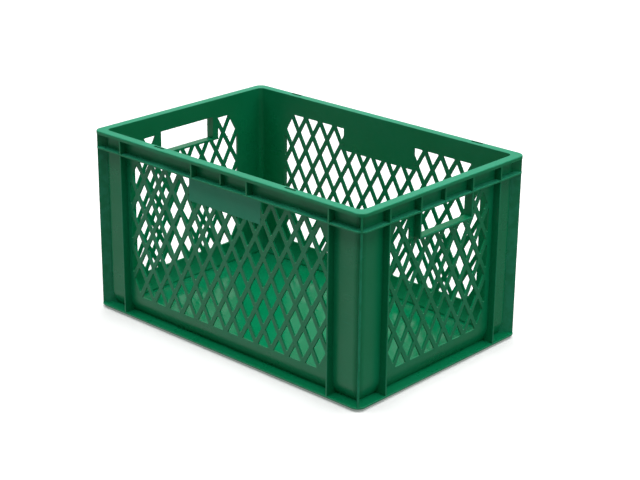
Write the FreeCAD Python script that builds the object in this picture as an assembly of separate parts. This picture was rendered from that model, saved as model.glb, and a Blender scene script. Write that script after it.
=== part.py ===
import FreeCAD, Part
import math
import os

# Stacking plastic crate, 600 x 400 mm Euro module, 320 mm high. Millimetres.
# Origin: centre of the resting plane under the stacking foot. +X runs along
# the 600 mm length, +Y across the 400 mm width, +Z up.
# The crate is a single injection moulding. Each node is one named region of
# that moulding, and neighbouring regions meet face to face.

# ---- envelope ---------------------------------------------------------------
LENGTH = 600.0
WIDTH = 400.0
HEIGHT = 320.0
ENVELOPE_RADIUS = 15.0

# ---- shell ------------------------------------------------------------------
WALL = 3.0
OVERHANG = 13.0                 # wall outer face to the envelope plane
INNER_RADIUS = 10.0             # vertical corner, inside face

# ---- base -------------------------------------------------------------------
LEDGE_BOTTOM = 4.4              # stands on the lip of the crate below
LEDGE_TOP = 7.6
LEDGE_EDGE_RADIUS = 1.0
FLOOR_BOTTOM = 1.4
FLOOR_TOP = 4.4
CURB_TOP = 36.0                 # the walls curve in from here down to the ledge
CURB_INSET = 9.0

# ---- rim channel ------------------------------------------------------------
RIM_BOTTOM = 289.0
RIM_FLANGE = 2.5
RIM_WEB = 3.5
SKIRT_HEIGHT = 6.0              # outer face of the lip, top to lower edge
SKIRT_THICKNESS = 3.0
LIP_OUTER_RADIUS = 2.0
LIP_INNER_RADIUS = 1.0
RIM_EDGE_RADIUS = 0.6

# ---- ribs -------------------------------------------------------------------
RIB = 3.0
RIB_SETBACK = 0.5               # rib edge behind the envelope plane
RIB_EDGE_RADIUS = 0.8
LONG_RIB_X = 233.0
SHORT_RIB_Y = 135.5
LONG_WEB_X = 62.0
HAND_RIB_Y = 63.3
CENTRE_WEB_DEPTH = 8.0

# ---- lattice ----------------------------------------------------------------
LONG_PITCH = 34.4
LONG_CELLS = 13
SHORT_PITCH = 35.2
SHORT_CELLS = 7
ROW_HALF = 30.6                 # vertical distance between staggered rows
LATTICE_TOP = 285.0
LATTICE_ROWS = 8
BAR = 7.0                       # bar width, square to its length
HOLE_RADIUS = 1.5
CORNER_SHARE = 0.4              # most of an edge that a rounded corner may take
MIN_OPENING = 12.0              # smallest opening that is cut, mm2

# ---- label panel and hand-hole ----------------------------------------------
LABEL_HALF = 80.0
LABEL_BOTTOM = 245.0
HAND_SOLID_HALF = 75.0          # solid wall beside the hand-hole
SHELF_BOTTOM = 245.5
SHELF_TOP = 249.0
SHELF_OUTER_RADIUS = 1.6
SHELF_INNER_RADIUS = 1.0

# ---- lid slots in the lip ---------------------------------------------------
SLOT_LENGTH = 24.0
SLOT_WIDTH = 5.0
SLOT_END_RADIUS = 2.45
LATCH_SLOT_X = 146.5
HINGE_SLOT_X = 204.0

# ---- derived ----------------------------------------------------------------
HALF_X = LENGTH / 2
HALF_Y = WIDTH / 2
OUT_X = HALF_X - OVERHANG
OUT_Y = HALF_Y - OVERHANG
IN_X = OUT_X - WALL
IN_Y = OUT_Y - WALL
OUTER_RADIUS = INNER_RADIUS + WALL
STRAIGHT_X = IN_X - INNER_RADIUS
STRAIGHT_Y = IN_Y - INNER_RADIUS
FOOT_X = OUT_X - CURB_INSET
FOOT_Y = OUT_Y - CURB_INSET
CURB_RADIUS = ((CURB_TOP - LEDGE_TOP) ** 2 + CURB_INSET ** 2) / (2 * CURB_INSET)
CURB_MIDDLE = (CURB_TOP + LEDGE_TOP) / 2
CURB_MIDDLE_INSET = CURB_RADIUS - math.sqrt(CURB_RADIUS ** 2 - (CURB_TOP - CURB_MIDDLE) ** 2)
LATTICE_BOTTOM = LATTICE_TOP - LATTICE_ROWS * ROW_HALF
LONG_WINDOW = LONG_PITCH * LONG_CELLS / 2
SHORT_WINDOW = SHORT_PITCH * SHORT_CELLS / 2
HAND_HALF = HAND_RIB_Y - RIB / 2
RIB_EDGE_X = HALF_X - RIB_SETBACK
SPAN = 2 * LENGTH               # larger than any crate dimension
UP = FreeCAD.Vector(0, 0, 1)
CENTRE = FreeCAD.Vector(0, 0, 0)
TOL = 0.01
CORNERS = {
    "front_right": (1, -1),
    "back_right": (1, 1),
    "back_left": (-1, 1),
    "front_left": (-1, -1),
}

nodes = {}


def box(x0, x1, y0, y1, z0, z1):
    """Axis-aligned box between two opposite corners, in either order."""
    low = FreeCAD.Vector(min(x0, x1), min(y0, y1), min(z0, z1))
    return Part.makeBox(abs(x1 - x0), abs(y1 - y0), abs(z1 - z0), low)


def rounded_prism(half_x, half_y, radius, z0, z1):
    """Upright prism with a rounded-rectangle outline centred on the crate."""
    block = box(-half_x, half_x, -half_y, half_y, z0, z1)
    upright = [e for e in block.Edges if e.BoundBox.ZLength > TOL]
    return block.makeFillet(radius, upright)


def wall_prism(z0, z1):
    """Everything inside the outer face of the walls."""
    return rounded_prism(OUT_X, OUT_Y, OUTER_RADIUS, z0, z1)


def foot_prism(depth, z0, z1):
    """Everything a given depth inside the outer face of the foot."""
    radius = OUTER_RADIUS - CURB_INSET - depth
    return rounded_prism(FOOT_X - depth, FOOT_Y - depth, radius, z0, z1)


def curb_arc(wall_face):
    """Curved outline of the lower wall, on the +X side, from its top down to the ledge."""
    points = ((wall_face, CURB_TOP), (wall_face - CURB_MIDDLE_INSET, CURB_MIDDLE),
              (wall_face - CURB_INSET, LEDGE_TOP))
    return Part.Arc(*[FreeCAD.Vector(x, 0, z) for x, z in points]).toShape()


def upright_face(wall_face, corners):
    """Face in the XZ plane between the curved outline of the lower wall and a path of corners."""
    path = [FreeCAD.Vector(x, 0, z) for x, z in corners]
    edges = [Part.makeLine(a, b) for a, b in zip(path, path[1:])]
    return Part.Face(Part.Wire(Part.sortEdges(edges + [curb_arc(wall_face)])[0]))


def level_edges(shape, z, outer):
    """Horizontal edges at height z on the envelope (outer) or mouth side."""
    found = []
    for edge in shape.Edges:
        bounds = edge.BoundBox
        if bounds.ZLength > TOL or abs(bounds.ZMin - z) > TOL:
            continue
        middle = edge.CenterOfMass
        gap_x = HALF_X - abs(middle.x)
        gap_y = HALF_Y - abs(middle.y)
        if (min(gap_x, gap_y) < OVERHANG / 2) == outer:
            found.append(edge)
    return found


def turned(shape, degrees):
    """Copy of a shape turned about the vertical centre line."""
    copy = shape.copy()
    copy.rotate(CENTRE, UP, degrees)
    return copy


def both_ends(name_a, name_b, shape):
    """Register a region and its copy on the opposite side of the crate."""
    nodes[name_a] = shape
    nodes[name_b] = turned(shape, 180)


def clip(points, axis, limit, side):
    """Keep the part of a convex outline on one side of an axis line."""
    kept = []
    for i, here in enumerate(points):
        there = points[(i + 1) % len(points)]
        gap_here = side * (here[axis] - limit)
        gap_there = side * (there[axis] - limit)
        if gap_here >= 0:
            kept.append(here)
        if gap_here * gap_there < 0:
            t = gap_here / (gap_here - gap_there)
            kept.append(tuple(a + t * (b - a) for a, b in zip(here, there)))
    return kept


def area(points):
    """Area of a flat outline."""
    total = 0.0
    for i, (u, z) in enumerate(points):
        u2, z2 = points[(i + 1) % len(points)]
        total += u * z2 - u2 * z
    return abs(total) / 2


def without_repeats(points):
    """Outline without points that sit on top of the one before."""
    return [p for i, p in enumerate(points) if math.dist(p, points[i - 1]) > TOL]


def rounded_outline(points, radius, place):
    """Closed wire through an outline, with every corner rounded."""
    starts = []
    arcs = []
    for i, here in enumerate(points):
        legs = []
        for other in (points[i - 1], points[(i + 1) % len(points)]):
            reach = math.dist(here, other)
            legs.append(((other[0] - here[0]) / reach, (other[1] - here[1]) / reach, reach))
        cosine = legs[0][0] * legs[1][0] + legs[0][1] * legs[1][1]
        half = math.acos(max(-1.0, min(1.0, cosine))) / 2
        room = CORNER_SHARE * min(legs[0][2], legs[1][2])
        cut = min(radius / math.tan(half), room)
        round_radius = cut * math.tan(half)
        a, b = [(here[0] + cut * lu, here[1] + cut * lz) for lu, lz, _ in legs]
        bisector = (legs[0][0] + legs[1][0], legs[0][1] + legs[1][1])
        size = math.hypot(*bisector)
        inset = round_radius / math.sin(half) - round_radius
        middle = (here[0] + inset * bisector[0] / size, here[1] + inset * bisector[1] / size)
        starts.append(place(a))
        arcs.append(Part.Arc(place(a), place(middle), place(b)).toShape())
    edges = []
    for i, arc in enumerate(arcs):
        edges.append(arc)
        following = starts[(i + 1) % len(starts)]
        edges.append(Part.makeLine(arc.valueAt(arc.LastParameter), following))
    return Part.Wire(edges)


def lattice_holes(pitch, cells, window, place, through):
    """Prisms for the openings in one rectangular window. The lattice's four corners stay solid."""
    u0, u1, z0, z1 = window
    half = pitch / 2
    to_bar = half * ROW_HALF / math.hypot(half, ROW_HALF)
    scale = 1 - BAR / 2 / to_bar
    holes = []
    for row in range(LATTICE_ROWS + 1):
        z = LATTICE_TOP - row * ROW_HALF
        for column in range(-cells, cells + 1):
            corner = abs(column) == cells and row in (0, LATTICE_ROWS)
            if (column + row) % 2 == 0 or corner:
                continue
            u = column * half
            outline = [(u + half * scale, z), (u, z + ROW_HALF * scale),
                       (u - half * scale, z), (u, z - ROW_HALF * scale)]
            for axis, limit, side in ((0, u0, 1), (0, u1, -1), (1, z0, 1), (1, z1, -1)):
                outline = clip(outline, axis, limit, side)
            outline = without_repeats(outline)
            if len(outline) > 2 and area(outline) > MIN_OPENING:
                wire = rounded_outline(outline, HOLE_RADIUS, place)
                holes.append(Part.Face(wire).extrude(through))
    return holes


def soften(shape, radius, x):
    """Round the upright edges of a rib on its free side, at the given x."""
    free = [e for e in shape.Edges
            if e.BoundBox.ZLength > WALL and abs(e.CenterOfMass.x - x) < TOL]
    return shape.makeFillet(radius, free)


def main_rib(wall_face, along):
    """Full-height rib on the +X side, following the curved wall at its foot."""
    edge = wall_face + OVERHANG - RIB_SETBACK
    corners = ((wall_face, CURB_TOP), (wall_face, RIM_BOTTOM), (edge, RIM_BOTTOM),
               (edge, LEDGE_TOP), (wall_face - CURB_INSET, LEDGE_TOP))
    rib = upright_face(wall_face, corners).extrude(FreeCAD.Vector(0, RIB, 0))
    rib.translate(FreeCAD.Vector(0, along - RIB / 2, 0))
    return soften(rib, RIB_EDGE_RADIUS, edge)


def curb_face(wall_face):
    """Cross-section of the curved lower wall, on the +X side."""
    inside = wall_face - WALL
    edges = [curb_arc(wall_face), curb_arc(inside)]
    for inset, z in ((0, CURB_TOP), (CURB_INSET, LEDGE_TOP)):
        edges.append(Part.makeLine(FreeCAD.Vector(wall_face - inset, 0, z),
                                   FreeCAD.Vector(inside - inset, 0, z)))
    return Part.Face(Part.Wire(Part.sortEdges(edges)[0]))


# ---- base: floor, ledge and stacking foot -----------------------------------
nodes["floor_panel"] = foot_prism(WALL, FLOOR_BOTTOM, FLOOR_TOP)

ledge = rounded_prism(HALF_X, HALF_Y, ENVELOPE_RADIUS, LEDGE_BOTTOM, LEDGE_TOP)
ledge = ledge.cut(foot_prism(0, LEDGE_BOTTOM, LEDGE_TOP))
ledge_edges = level_edges(ledge, LEDGE_TOP, True) + level_edges(ledge, LEDGE_BOTTOM, True)
ledge = ledge.makeFillet(LEDGE_EDGE_RADIUS, ledge_edges)
both_ends("ledge_front", "ledge_back",
          ledge.common(box(-SPAN, SPAN, -SPAN, -FOOT_Y, LEDGE_BOTTOM, LEDGE_TOP)))
both_ends("ledge_right", "ledge_left",
          ledge.common(box(0, SPAN, -FOOT_Y, FOOT_Y, LEDGE_BOTTOM, LEDGE_TOP)))

foot = foot_prism(0, 0, LEDGE_TOP).cut(foot_prism(WALL, 0, LEDGE_TOP))
both_ends("foot_front", "foot_back",
          foot.common(box(-SPAN, SPAN, -SPAN, -STRAIGHT_Y, 0, LEDGE_TOP)))
both_ends("foot_right", "foot_left",
          foot.common(box(0, SPAN, -STRAIGHT_Y, STRAIGHT_Y, 0, LEDGE_TOP)))

# ---- curb: the strip where the walls curve in towards the foot --------------
curb_right = curb_face(OUT_X).extrude(FreeCAD.Vector(0, 2 * STRAIGHT_Y, 0))
curb_right.translate(FreeCAD.Vector(0, -STRAIGHT_Y, 0))
both_ends("curb_right", "curb_left", curb_right)
curb_front = curb_face(OUT_Y).extrude(FreeCAD.Vector(0, 2 * STRAIGHT_X, 0))
curb_front.translate(FreeCAD.Vector(0, -STRAIGHT_X, 0))
both_ends("curb_front", "curb_back", turned(curb_front, -90))

# ---- long walls with their label panels -------------------------------------
long_wall = box(-STRAIGHT_X, STRAIGHT_X, -OUT_Y, -IN_Y, CURB_TOP, RIM_BOTTOM)
long_window = (-LONG_WINDOW, LONG_WINDOW, LATTICE_BOTTOM, LATTICE_TOP)
long_holes = lattice_holes(LONG_PITCH, LONG_CELLS, long_window,
                           lambda p: FreeCAD.Vector(p[0], -OUT_Y, p[1]),
                           FreeCAD.Vector(0, WALL, 0))
label = box(-LABEL_HALF, LABEL_HALF, -OUT_Y, -IN_Y, LABEL_BOTTOM, RIM_BOTTOM)
beside_label = [hole.cut(label) for hole in long_holes]
beside_label = [hole for hole in beside_label if hole.Volume > MIN_OPENING * WALL]
both_ends("wall_front", "wall_back", long_wall.cut(label).cut(beside_label))
both_ends("label_panel_front", "label_panel_back", label)

# ---- short walls with their hand-holes --------------------------------------
short_place = lambda p: FreeCAD.Vector(IN_X, p[0], p[1])
short_through = FreeCAD.Vector(WALL, 0, 0)
lower_wall = box(IN_X, OUT_X, -STRAIGHT_Y, STRAIGHT_Y, CURB_TOP, SHELF_BOTTOM)
lower_window = (-SHORT_WINDOW, SHORT_WINDOW, LATTICE_BOTTOM, SHELF_BOTTOM)
lower_wall = lower_wall.cut(lattice_holes(SHORT_PITCH, SHORT_CELLS, lower_window,
                                          short_place, short_through))
both_ends("wall_right", "wall_left", lower_wall)

hand_rib_outer = HAND_RIB_Y + RIB / 2
for side, along in ((-1, ("front", "back")), (1, ("back", "front"))):
    cheek = box(IN_X, OUT_X, side * hand_rib_outer, side * STRAIGHT_Y, SHELF_BOTTOM, RIM_BOTTOM)
    reach = sorted((side * HAND_SOLID_HALF, side * SHORT_WINDOW))
    window = (reach[0], reach[1], SHELF_BOTTOM, LATTICE_TOP)
    cheek = cheek.cut(lattice_holes(SHORT_PITCH, SHORT_CELLS, window,
                                    short_place, short_through))
    both_ends("cheek_right_" + along[0], "cheek_left_" + along[1], cheek)
    hand_rib = box(IN_X, RIB_EDGE_X, side * HAND_HALF, side * hand_rib_outer,
                   SHELF_BOTTOM, RIM_BOTTOM)
    hand_rib = soften(hand_rib, RIB_EDGE_RADIUS, RIB_EDGE_X)
    both_ends("hand_rib_right_" + along[0], "hand_rib_left_" + along[1], hand_rib)

shelf = box(IN_X, RIB_EDGE_X, -HAND_HALF, HAND_HALF, SHELF_BOTTOM, SHELF_TOP)
for x, radius in ((RIB_EDGE_X, SHELF_OUTER_RADIUS), (IN_X, SHELF_INNER_RADIUS)):
    long_edge = [e for e in shelf.Edges if e.BoundBox.YLength > HAND_HALF
                 and abs(e.CenterOfMass.x - x) < TOL and abs(e.CenterOfMass.z - SHELF_TOP) < TOL]
    shelf = shelf.makeFillet(radius, long_edge)
both_ends("grip_shelf_right", "grip_shelf_left", shelf)

# ---- main ribs --------------------------------------------------------------
for side, along in ((-1, ("left", "right")), (1, ("right", "left"))):
    long_rib = turned(main_rib(OUT_Y, side * LONG_RIB_X), -90)
    both_ends("rib_front_" + along[0], "rib_back_" + along[1], long_rib)
for side, along in ((-1, ("front", "back")), (1, ("back", "front"))):
    short_rib = main_rib(OUT_X, side * SHORT_RIB_Y)
    both_ends("rib_right_" + along[0], "rib_left_" + along[1], short_rib)

# ---- corner posts and their diagonal ribs -----------------------------------
rib_limit = rounded_prism(HALF_X - RIB_SETBACK, HALF_Y - RIB_SETBACK,
                          ENVELOPE_RADIUS - RIB_SETBACK, LEDGE_TOP, HEIGHT)


def diagonal_blade(sign_x, sign_y, z0, z1):
    """Diagonal blade from the rounded corner out to the envelope."""
    blade = box(0, SPAN, -RIB / 2, RIB / 2, z0, z1)
    blade.rotate(CENTRE, UP, math.degrees(math.atan2(sign_y, sign_x)))
    place = FreeCAD.Vector(sign_x * STRAIGHT_X, sign_y * STRAIGHT_Y, 0)
    blade.translate(place)
    blade = blade.common(rib_limit).cut(wall_prism(max(z0, CURB_TOP), z1))
    return blade.cut(corner_core.translated(place))


corner_core = upright_face(OUTER_RADIUS,
                           ((OUTER_RADIUS, CURB_TOP), (0, CURB_TOP), (0, LEDGE_TOP),
                            (OUTER_RADIUS - CURB_INSET, LEDGE_TOP)))
corner_core = corner_core.revolve(CENTRE, UP, 360)
corner_curb = curb_face(OUTER_RADIUS).revolve(CENTRE, UP, 90)
shell = wall_prism(CURB_TOP, RIM_BOTTOM)
shell = shell.cut(rounded_prism(IN_X, IN_Y, INNER_RADIUS, CURB_TOP, RIM_BOTTOM))
for name, (sign_x, sign_y) in CORNERS.items():
    corner = box(sign_x * STRAIGHT_X, sign_x * SPAN, sign_y * STRAIGHT_Y, sign_y * SPAN,
                 0, HEIGHT)
    nodes["post_" + name] = shell.common(corner)
    quarter = turned(corner_curb, math.degrees(math.atan2(sign_y, sign_x)) - 45)
    nodes["curb_corner_" + name] = quarter.translated(
        FreeCAD.Vector(sign_x * STRAIGHT_X, sign_y * STRAIGHT_Y, 0))
    nodes["corner_rib_" + name] = diagonal_blade(sign_x, sign_y, LEDGE_TOP, RIM_BOTTOM)

# ---- rim channel: wall band, lower flange, lip web and skirt ----------------
channel_bottom = RIM_BOTTOM + RIM_FLANGE
web_bottom = HEIGHT - RIM_WEB
skirt_bottom = HEIGHT - SKIRT_HEIGHT
rim = rounded_prism(HALF_X, HALF_Y, ENVELOPE_RADIUS, RIM_BOTTOM, HEIGHT)
rim = rim.cut(rounded_prism(IN_X, IN_Y, INNER_RADIUS, RIM_BOTTOM, HEIGHT))
skirt_x = HALF_X - SKIRT_THICKNESS
skirt_y = HALF_Y - SKIRT_THICKNESS
hollow = rounded_prism(SPAN, SPAN, ENVELOPE_RADIUS, channel_bottom, skirt_bottom)
hollow = hollow.fuse(rounded_prism(skirt_x, skirt_y, ENVELOPE_RADIUS - SKIRT_THICKNESS,
                                   skirt_bottom, web_bottom))
rim = rim.cut(hollow.cut(wall_prism(channel_bottom, web_bottom)))
rim = rim.makeFillet(LIP_OUTER_RADIUS, level_edges(rim, HEIGHT, True))
rim = rim.makeFillet(LIP_INNER_RADIUS, level_edges(rim, HEIGHT, False))
rim = rim.makeFillet(RIM_EDGE_RADIUS, level_edges(rim, channel_bottom, True))

webs = []
for x, depth in ((LONG_WEB_X, OVERHANG - RIB_SETBACK), (LONG_RIB_X, OVERHANG - RIB_SETBACK),
                 (0, CENTRE_WEB_DEPTH)):
    for side in sorted({-1, 1} if x else {1}):
        for y in (1, -1):
            webs.append(box(side * x - RIB / 2, side * x + RIB / 2, y * OUT_Y,
                            y * (OUT_Y + depth), channel_bottom, web_bottom))
for y, depth in ((HAND_RIB_Y, OVERHANG - RIB_SETBACK), (SHORT_RIB_Y, OVERHANG - RIB_SETBACK),
                 (0, CENTRE_WEB_DEPTH)):
    for side in sorted({-1, 1} if y else {1}):
        for x in (1, -1):
            webs.append(box(x * OUT_X, x * (OUT_X + depth), side * y - RIB / 2,
                            side * y + RIB / 2, channel_bottom, web_bottom))
for sign_x, sign_y in CORNERS.values():
    webs.append(diagonal_blade(sign_x, sign_y, channel_bottom, web_bottom))
rim = rim.fuse(webs).removeSplitter()

# Two latch slots by the front wall and two hinge slots by the back skirt.
latch_y = -(OUT_Y + SLOT_WIDTH / 2)
hinge_y = skirt_y - SLOT_WIDTH / 2
for x, y in ((LATCH_SLOT_X, latch_y), (HINGE_SLOT_X, hinge_y)):
    for side in (-1, 1):
        slot = box(side * x - SLOT_LENGTH / 2, side * x + SLOT_LENGTH / 2,
                   y - SLOT_WIDTH / 2, y + SLOT_WIDTH / 2, web_bottom, HEIGHT)
        upright = [e for e in slot.Edges if e.BoundBox.ZLength > TOL]
        rim = rim.cut(slot.makeFillet(SLOT_END_RADIUS, upright))

sides = {
    "rim_front": (-STRAIGHT_X, STRAIGHT_X, -SPAN, -STRAIGHT_Y),
    "rim_back": (-STRAIGHT_X, STRAIGHT_X, STRAIGHT_Y, SPAN),
    "rim_right": (STRAIGHT_X, SPAN, -STRAIGHT_Y, STRAIGHT_Y),
    "rim_left": (-SPAN, -STRAIGHT_X, -STRAIGHT_Y, STRAIGHT_Y),
}
for name, (x0, x1, y0, y1) in sides.items():
    nodes[name] = rim.common(box(x0, x1, y0, y1, RIM_BOTTOM, HEIGHT))
for name, (sign_x, sign_y) in CORNERS.items():
    nodes["rim_corner_" + name] = rim.common(
        box(sign_x * STRAIGHT_X, sign_x * SPAN, sign_y * STRAIGHT_Y, sign_y * SPAN,
            RIM_BOTTOM, HEIGHT))

# ---- write ------------------------------------------------------------------
os.makedirs("parts", exist_ok=True)
for name, shape in nodes.items():
    solids = shape.Solids
    if len(solids) != 1 or not solids[0].isValid():
        raise ValueError(name + " is not one valid solid")
    solids[0].exportStep("parts/" + name + ".step")
print(len(nodes), "nodes written")
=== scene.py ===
import math

import bpy
from mathutils import Matrix, Vector

# Lengths are in metres, in the frame of the CAD model. Angles are in degrees.

# ---- plastic ----------------------------------------------------------------
GREEN = (0.0, 0.222, 0.083, 1.0)
# Paler green for real marks and wear, and also for painted sheen and painted highlights.
MARK_AND_SHEEN_GREEN = (0.02, 0.32, 0.18, 1.0)
PLASTIC_IOR = 1.49
PLASTIC_SPECULAR = 0.34

# Noise in the plastic, in waves per metre.
CLOUD_WAVES = 9.0
SINK_WAVES = 16.0
SHEEN_WAVES = 26.0
SCRATCH_WAVES = 60.0
WEAR_AND_HIGHLIGHT_WAVES = 70.0
SPECK_WAVES = 420.0
GRAIN_WAVES = 1400.0

# How much of the paler green each kind of mark mixes in, where it is strongest.
MOST_CLOUD = 0.16
MOST_SPECK = 0.10
# Edge wear and a painted highlight along rounded edges share this.
MOST_WEAR_AND_HIGHLIGHT = 0.55

SHEEN_SPREAD = 0.10             # from the smoothest to the roughest patch
MARK_ROUGHNESS = 0.25           # how much rougher a full mark is
SINK_DEPTH = 0.0012
GRAIN_DEPTH = 0.00003

# ---- studio -----------------------------------------------------------------
WHITE = (1.0, 1.0, 1.0, 1.0)
PAPER = (0.9, 0.9, 0.9, 1.0)
PAPER_GLOW = 0.2
FLOOR_HALF = 12.0
FLOOR_DROP = 0.0002             # below the resting plane, so that the faces don't coincide
LIGHT_AIM = (0.0, 0.0, 0.15)
OVERCAST_ANGLE = 85.0

# ---- camera -----------------------------------------------------------------
CRATE_MIDDLE = (0.0, 0.0, 0.16)
CAMERA_ROUND = 42.44            # from the front towards the right side
CAMERA_DOWN = 20.88
CAMERA_TILT = 0.63
CAMERA_OFFSET = (0.0255, -0.0119, 2.7315)   # right, up and back from the crate's middle
CAMERA_LENS = 91.76             # focal length in mm


def shader_node(tree, kind, **settings):
    """A new node of this kind, with its properties set."""
    node = tree.nodes.new(kind)
    for name, value in settings.items():
        setattr(node, name, value)
    return node


def math_node(tree, operation, first, second=0.0):
    """The result of one sum on two sockets or numbers."""
    node = shader_node(tree, "ShaderNodeMath", operation=operation)
    for socket, value in zip(node.inputs, (first, second)):
        if isinstance(value, (int, float)):
            socket.default_value = value
        else:
            tree.links.new(value, socket)
    return node.outputs[0]


def fade(tree, value, start, end, low=0.0, high=1.0):
    """Value mapped smoothly from start..end to low..high, and held at both ends."""
    node = shader_node(tree, "ShaderNodeMapRange", interpolation_type="SMOOTHSTEP")
    limits = {"From Min": start, "From Max": end, "To Min": low, "To Max": high}
    for name, number in limits.items():
        node.inputs[name].default_value = number
    tree.links.new(value, node.inputs["Value"])
    return node.outputs["Result"]


def noise(tree, waves, detail, stretch=(1.0, 1.0, 1.0)):
    """Noise in the object's own space. Stretch multiplies its waves along each axis."""
    coordinates = shader_node(tree, "ShaderNodeTexCoord")
    mapping = shader_node(tree, "ShaderNodeMapping")
    mapping.inputs["Scale"].default_value = stretch
    texture = shader_node(tree, "ShaderNodeTexNoise")
    texture.inputs["Scale"].default_value = waves
    texture.inputs["Detail"].default_value = detail
    tree.links.new(coordinates.outputs["Object"], mapping.inputs["Vector"])
    tree.links.new(mapping.outputs["Vector"], texture.inputs["Vector"])
    return texture.outputs["Fac"]


def mixed_colour(tree, share, first, second):
    """The first colour where share is 0, and the second where it is 1."""
    node = shader_node(tree, "ShaderNodeMix", data_type="RGBA")
    tree.links.new(share, node.inputs["Factor"])
    colour_a, colour_b = [socket for socket in node.inputs if socket.type == "RGBA"]
    colour_a.default_value = first
    colour_b.default_value = second
    return next(socket for socket in node.outputs if socket.type == "RGBA")


def bumped(tree, height, distance, below=None):
    """A surface normal with this height added to the bumps below it."""
    node = shader_node(tree, "ShaderNodeBump")
    node.inputs["Distance"].default_value = distance
    tree.links.new(height, node.inputs["Height"])
    if below is not None:
        tree.links.new(below, node.inputs["Normal"])
    return node.outputs["Normal"]


def parts_of(tree, vector):
    """The X, Y and Z of a vector."""
    split = shader_node(tree, "ShaderNodeSeparateXYZ")
    tree.links.new(vector, split.inputs[0])
    return split.outputs


def facing_up(tree):
    """How far a surface looks up: 1 where it is level, 0 where it is upright."""
    geometry = shader_node(tree, "ShaderNodeNewGeometry")
    return parts_of(tree, geometry.outputs["True Normal"])["Z"]


def facing_out(tree):
    """Above 0 where a surface looks away from the crate's middle, and below 0 where it looks in."""
    geometry = shader_node(tree, "ShaderNodeNewGeometry")
    product = shader_node(tree, "ShaderNodeVectorMath", operation="DOT_PRODUCT")
    tree.links.new(geometry.outputs["True Normal"], product.inputs[0])
    tree.links.new(geometry.outputs["Position"], product.inputs[1])
    return product.outputs["Value"]


def rounding(tree, edges):
    """Where a surface turns, along the level or the upright rounded edges. 0 on a flat face."""
    geometry = shader_node(tree, "ShaderNodeNewGeometry")
    size = shader_node(tree, "ShaderNodeVectorMath", operation="ABSOLUTE")
    tree.links.new(geometry.outputs["True Normal"], size.inputs[0])
    normal = parts_of(tree, size.outputs["Vector"])
    if edges == "upright":
        return math_node(tree, "MULTIPLY", normal["X"], normal["Y"])
    return math_node(tree, "MULTIPLY", normal["Z"], math_node(tree, "SUBTRACT", 1.0, normal["Z"]))


def moulded_plastic(name, worn_and_highlit_edges=None, scratched=0.25, smoothest=0.24, painted_top_sheen=0.0, painted_outer_sheen=0.0):
    """Moulded polyethylene: through-coloured, half glossy, with a fine grain and faint sink marks.

    Scratched is how strong its scratches are, painted_top_sheen how far a painted sheen lightens
    its level faces, and painted_outer_sheen how far a painted sheen makes the outside paler than
    the inside.
    """
    material = bpy.data.materials.new(name)
    material.use_nodes = True
    tree = material.node_tree
    shader = tree.nodes["Principled BSDF"]
    shader.inputs["IOR"].default_value = PLASTIC_IOR
    shader.inputs["Specular IOR Level"].default_value = PLASTIC_SPECULAR

    clouds = fade(tree, noise(tree, CLOUD_WAVES, 3.0), 0.3, 0.7, 0.0, MOST_CLOUD)
    specks = fade(tree, noise(tree, SPECK_WAVES, 2.0), 0.62, 0.78, 0.0, MOST_SPECK)
    along_x = noise(tree, SCRATCH_WAVES, 4.0, (1.0, 7.0, 7.0))
    scratches = fade(tree, along_x, 0.60, 0.72, 0.0, scratched)
    # Real marks, with the painted sheen and highlights added below.
    marks_and_sheen = [clouds, specks, scratches]
    # Painted sheen: the outward faces are painted paler than the inward ones.
    if painted_outer_sheen:
        marks_and_sheen.append(fade(tree, facing_out(tree), -0.01, 0.01, 0.0, painted_outer_sheen))
    # Painted sheen: level faces painted paler, a painted highlight on the tops.
    if painted_top_sheen:
        marks_and_sheen.append(fade(tree, facing_up(tree), 0.7, 0.95, 0.0, painted_top_sheen))
    # Rounded edges painted paler: partly real wear, partly a painted highlight where light catches
    # them.
    if worn_and_highlit_edges:
        wear_and_highlight_patches = fade(tree, noise(tree, WEAR_AND_HIGHLIGHT_WAVES, 4.0), 0.38, 0.62, 0.25, 1.0)
        wear_and_highlight = fade(tree, rounding(tree, worn_and_highlit_edges), 0.02, 0.22, 0.0, MOST_WEAR_AND_HIGHLIGHT)
        marks_and_sheen.append(math_node(tree, "MULTIPLY", wear_and_highlight, wear_and_highlight_patches))
    # All of it, real marks and painted sheen alike, mixes in the paler green.
    total = marks_and_sheen[0]
    for layer in marks_and_sheen[1:]:
        total = math_node(tree, "ADD", total, layer)
    share = math_node(tree, "MINIMUM", total, 1.0)
    tree.links.new(mixed_colour(tree, share, GREEN, MARK_AND_SHEEN_GREEN), shader.inputs["Base Color"])

    sheen = noise(tree, SHEEN_WAVES, 4.0)
    roughness = fade(tree, sheen, 0.25, 0.75, smoothest, smoothest + SHEEN_SPREAD)
    added = math_node(tree, "MULTIPLY", share, MARK_ROUGHNESS)
    tree.links.new(math_node(tree, "ADD", roughness, added), shader.inputs["Roughness"])

    sinks = bumped(tree, noise(tree, SINK_WAVES, 2.0), SINK_DEPTH)
    grain = bumped(tree, noise(tree, GRAIN_WAVES, 2.0), GRAIN_DEPTH, sinks)
    tree.links.new(grain, shader.inputs["Normal"])
    return material


def paint(nodes, material, starts):
    """Gives the material to every CAD node whose name starts with one of these words."""
    for name, node in nodes.items():
        if name.startswith(starts):
            for slot in node.material_slots:
                slot.material = material


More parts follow.
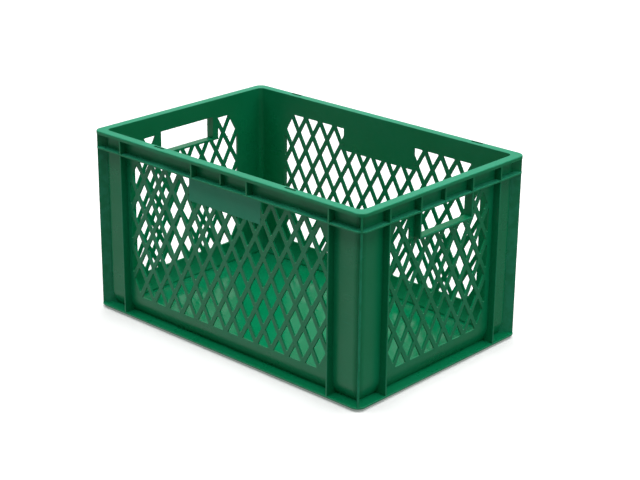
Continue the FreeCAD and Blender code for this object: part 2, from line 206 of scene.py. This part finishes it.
def paint_crate(nodes):
    """The whole crate is one plastic, worn and marked in its own way from place to place, with
    painted sheen and painted highlights in some places.
    """
    wall = moulded_plastic("wall plastic")
    # The rim: a painted sheen on its level tops, and wear with painted highlights along its rounded
    # level edges.
    rim = moulded_plastic("rim plastic", "level", smoothest=0.30, painted_top_sheen=0.7)
    # The ledge and the ribs: wear with painted highlights along their rounded edges.
    ledge = moulded_plastic("ledge plastic", "level")
    rib = moulded_plastic("rib plastic", "upright")
    floor = moulded_plastic("floor plastic", scratched=0.15, smoothest=0.07)
    # The label panel's outward faces get a painted sheen.
    label = moulded_plastic("label plastic", painted_outer_sheen=0.85)
    paint(nodes, wall, ("wall_", "cheek_", "post_", "curb_", "foot_"))
    paint(nodes, rim, ("rim_",))
    paint(nodes, ledge, ("ledge_", "grip_"))
    paint(nodes, rib, ("rib_", "corner_rib_", "hand_rib_"))
    paint(nodes, floor, ("floor_",))
    paint(nodes, label, ("label_",))


def studio_paper():
    """Matt white paper that glows a little."""
    material = bpy.data.materials.new("studio paper")
    material.use_nodes = True
    shader = material.node_tree.nodes["Principled BSDF"]
    shader.inputs["Base Color"].default_value = PAPER
    shader.inputs["Roughness"].default_value = 0.9
    shader.inputs["Specular IOR Level"].default_value = 0.1
    shader.inputs["Emission Color"].default_value = WHITE
    shader.inputs["Emission Strength"].default_value = PAPER_GLOW
    return material


def studio_floor():
    """A wide pale floor, which the crate doesn't reflect."""
    mesh = bpy.data.meshes.new("studio floor")
    corners = [(x * FLOOR_HALF, y * FLOOR_HALF, 0) for x, y in ((-1, -1), (1, -1), (1, 1), (-1, 1))]
    mesh.from_pydata(corners, [], [(0, 1, 2, 3)])
    mesh.materials.append(studio_paper())
    floor = bpy.data.objects.new("studio_floor", mesh)
    bpy.context.scene.collection.objects.link(floor)
    floor.location.z = -FLOOR_DROP
    floor.visible_glossy = False
    floor.visible_diffuse = False


def lamp_object(name, lamp, place):
    """Puts a lamp in the scene, facing the crate, where the camera doesn't see the lamp itself."""
    light = bpy.data.objects.new(name, lamp)
    bpy.context.scene.collection.objects.link(light)
    light.location = place
    aim = Vector(LIGHT_AIM) - Vector(place)
    light.rotation_euler = aim.to_track_quat("-Z", "Y").to_euler()
    light.visible_camera = False


def soft_light(name, place, size, power):
    """A large square lamp."""
    lamp = bpy.data.lights.new(name, "AREA")
    lamp.size = size
    lamp.energy = power
    lamp_object(name, lamp, place)


def overcast_light(name, place, strength):
    """Even light from a wide patch of sky."""
    lamp = bpy.data.lights.new(name, "SUN")
    lamp.angle = math.radians(OVERCAST_ANGLE)
    lamp.energy = strength
    lamp_object(name, lamp, place)


def surroundings():
    """A dark room with a pale horizon, and a floor that glows most towards the front left."""
    world = bpy.data.worlds.new("studio")
    world.use_nodes = True
    tree = world.node_tree
    coordinates = shader_node(tree, "ShaderNodeTexCoord")
    direction = parts_of(tree, coordinates.outputs["Generated"])
    height = direction["Z"]
    horizon = fade(tree, math_node(tree, "ABSOLUTE", height), 0.04, 0.10, 0.8, 0.0)
    front_left = math_node(tree, "ADD", direction["X"], direction["Y"])
    glow = fade(tree, front_left, -1.5, -0.3, 0.9, 0.3)
    below = fade(tree, height, -0.36, -0.16, 1.0, 0.15)
    strength = math_node(tree, "MAXIMUM", horizon, math_node(tree, "MULTIPLY", glow, below))
    background = tree.nodes["Background"]
    background.inputs["Color"].default_value = WHITE
    tree.links.new(strength, background.inputs["Strength"])
    bpy.context.scene.world = world


def studio_lights():
    """Soft light from above, and broad lamps behind the crate and at its right."""
    surroundings()
    overcast_light("overhead", (-0.2, 0.25, 2.8), 3.9)
    soft_light("left_back", (-1.9, 2.1, 1.2), 1.5, 4.5)
    soft_light("right", (2.4, 0.3, 1.4), 1.3, 10.0)
    bpy.context.scene.view_settings.view_transform = "Standard"


def studio_camera():
    """A long lens, looking down on the corner between the front and the right side."""
    turn = Matrix.Rotation(math.radians(CAMERA_ROUND), 4, "Z")
    turn = turn @ Matrix.Rotation(math.radians(90.0 - CAMERA_DOWN), 4, "X")
    turn = turn @ Matrix.Rotation(math.radians(CAMERA_TILT), 4, "Z")
    camera = bpy.data.objects.new("camera", bpy.data.cameras.new("camera"))
    camera.data.lens = CAMERA_LENS
    camera.matrix_world = (Matrix.Translation(CRATE_MIDDLE) @ turn
                           @ Matrix.Translation(CAMERA_OFFSET))
    bpy.context.scene.collection.objects.link(camera)
    bpy.context.scene.camera = camera


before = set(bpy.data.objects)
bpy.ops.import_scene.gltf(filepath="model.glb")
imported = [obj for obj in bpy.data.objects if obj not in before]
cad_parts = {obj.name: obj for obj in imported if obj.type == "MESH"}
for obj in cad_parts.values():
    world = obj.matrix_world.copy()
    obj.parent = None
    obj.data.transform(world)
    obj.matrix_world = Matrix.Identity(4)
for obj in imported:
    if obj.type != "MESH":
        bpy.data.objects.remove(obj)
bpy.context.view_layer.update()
studio_camera()
studio_lights()
studio_floor()
paint_crate(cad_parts)
